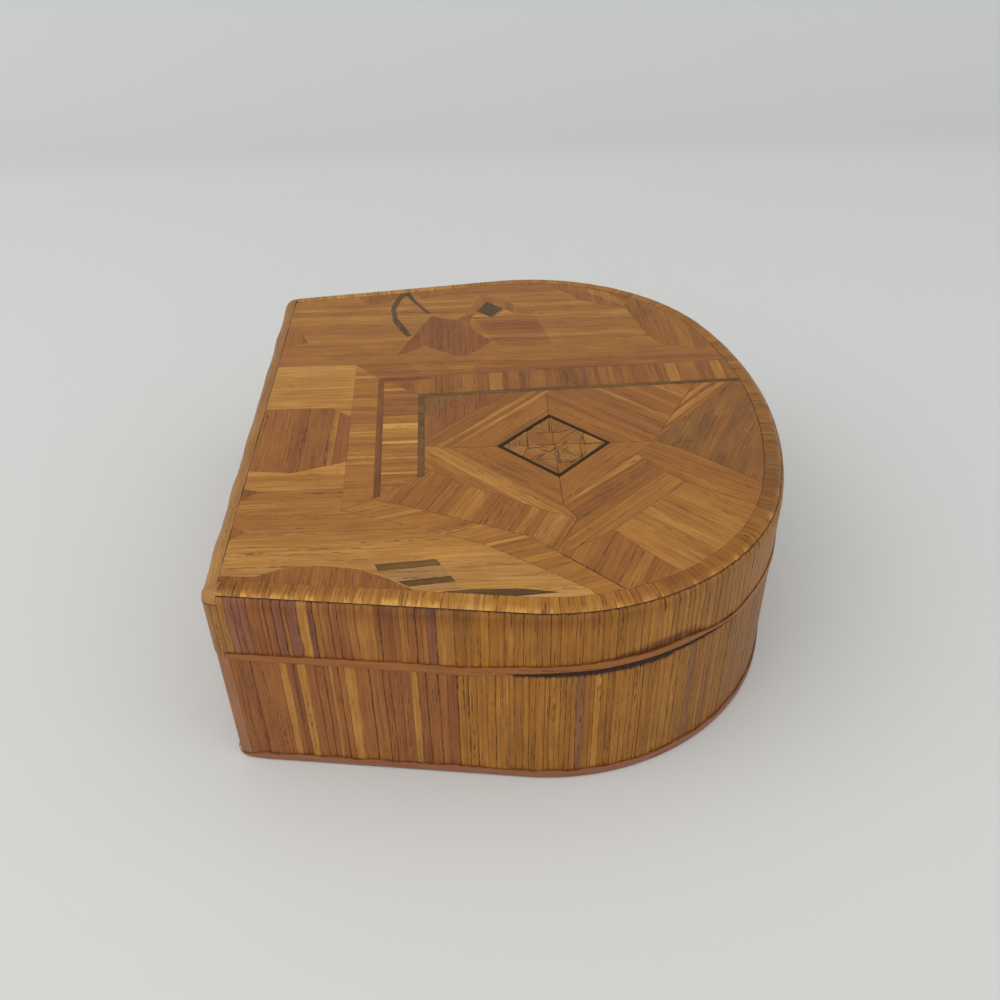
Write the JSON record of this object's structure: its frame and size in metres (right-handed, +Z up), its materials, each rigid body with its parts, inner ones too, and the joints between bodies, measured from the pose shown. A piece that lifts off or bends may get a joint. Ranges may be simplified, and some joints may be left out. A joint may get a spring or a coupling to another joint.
{
  "type": "hinged trinket box",
  "caption": "Horseshoe-shaped box with a hinged flat lid, covered in straw marquetry: upright split straws round the walls and geometric inlay with a lozenge on top.",
  "frame": {"origin": "on the resting plane, midway between the hinge side and the front of the curve, on the middle line", "axes": "+Z up; +Y towards the straight hinge side; -Y towards the curved front; X along the hinge"},
  "size_m": [0.1308, 0.1108, 0.041],
  "materials": {
    "carcass_wood": "plain, unpolished",
    "lining_paper": "matt, aged",
    "underside_paper": "matt, rubbed",
    "hinge_cloth": "woven, matt",
    "red_straw": "satin, split straw",
    "tan_straw": "satin, split straw",
    "rose_straw": "satin, split straw",
    "rust_straw": "satin, split straw",
    "pale_straw": "satin, split straw",
    "black_straw": "satin, split straw",
    "amber_straw": "satin, split straw",
    "green_straw": "satin, split straw",
    "golden_straw": "satin, split straw",
    "brown_straw": "satin, split straw"
  },
  "bodies": {
    "base": {"base_board": "carcass_wood", "base_back_wall": "carcass_wood", "base_bent_wall": "carcass_wood", "base_underside_paper": "underside_paper", "base_floor_lining": "lining_paper", "base_wall_lining": "lining_paper", "base_left_straws": "red_straw", "base_front_straws": "tan_straw", "base_right_straws": "red_straw", "base_back_straws": "tan_straw", "base_left_corner_strip": "rose_straw", "base_right_corner_strip": "rose_straw", "base_foot_band": "rust_straw", "hinge_cloth_base_leaf": "hinge_cloth"},
    "lid": {"hinge_cloth_lid_leaf": "hinge_cloth", "lid_board": "carcass_wood", "lid_back_wall": "carcass_wood", "lid_bent_wall": "carcass_wood", "lid_top_lining": "lining_paper", "lid_wall_lining": "lining_paper", "lid_left_straws": "red_straw", "lid_front_straws": "tan_straw", "lid_right_straws": "red_straw", "lid_back_straws": "tan_straw", "lid_left_edge_straws": "tan_straw", "lid_front_edge_straws": "tan_straw", "lid_right_edge_straws": "tan_straw", "lid_hinge_edge_strip": "rose_straw", "lid_rim_band": "rust_straw", "lozenge_mosaic": "pale_straw", "lozenge_stringing": "black_straw", "lozenge_plain_band": "amber_straw", "lozenge_upper_left_band": "amber_straw", "lozenge_upper_right_band": "amber_straw", "lozenge_lower_left_band": "red_straw", "lozenge_lower_right_band": "amber_straw", "green_stringing": "green_straw", "red_stringing": "rust_straw", "back_plain_band": "golden_straw", "back_transverse_band": "golden_straw", "right_transverse_band": "amber_straw", "left_transverse_band": "red_straw", "left_border_band": "amber_straw", "right_border_band": "amber_straw", "diagonal_striped_band": "amber_straw", "red_wedge": "red_straw", "front_brown_triangle": "brown_straw", "front_gold_leaf": "golden_straw", "front_dark_strip": "brown_straw", "front_gold_sheets": "golden_straw", "left_ground": "golden_straw", "left_hill": "red_straw", "left_bars_and_lens": "green_straw", "hinge_side_red_block": "red_straw", "hinge_side_gold_block": "golden_straw", "right_ground": "golden_straw", "right_hills": "brown_straw", "right_red_figure": "red_straw", "right_dark_inlays": "green_straw", "right_pale_inlays": "pale_straw"}
  },
  "joints": [
    {"name": "lid_hinge", "type": "hinge", "parent": "base", "child": "lid", "pos_m": [0, 0.0554, 0.0267], "axis": [-1, 0, 0], "range_deg": [0, 105]}
  ]
}
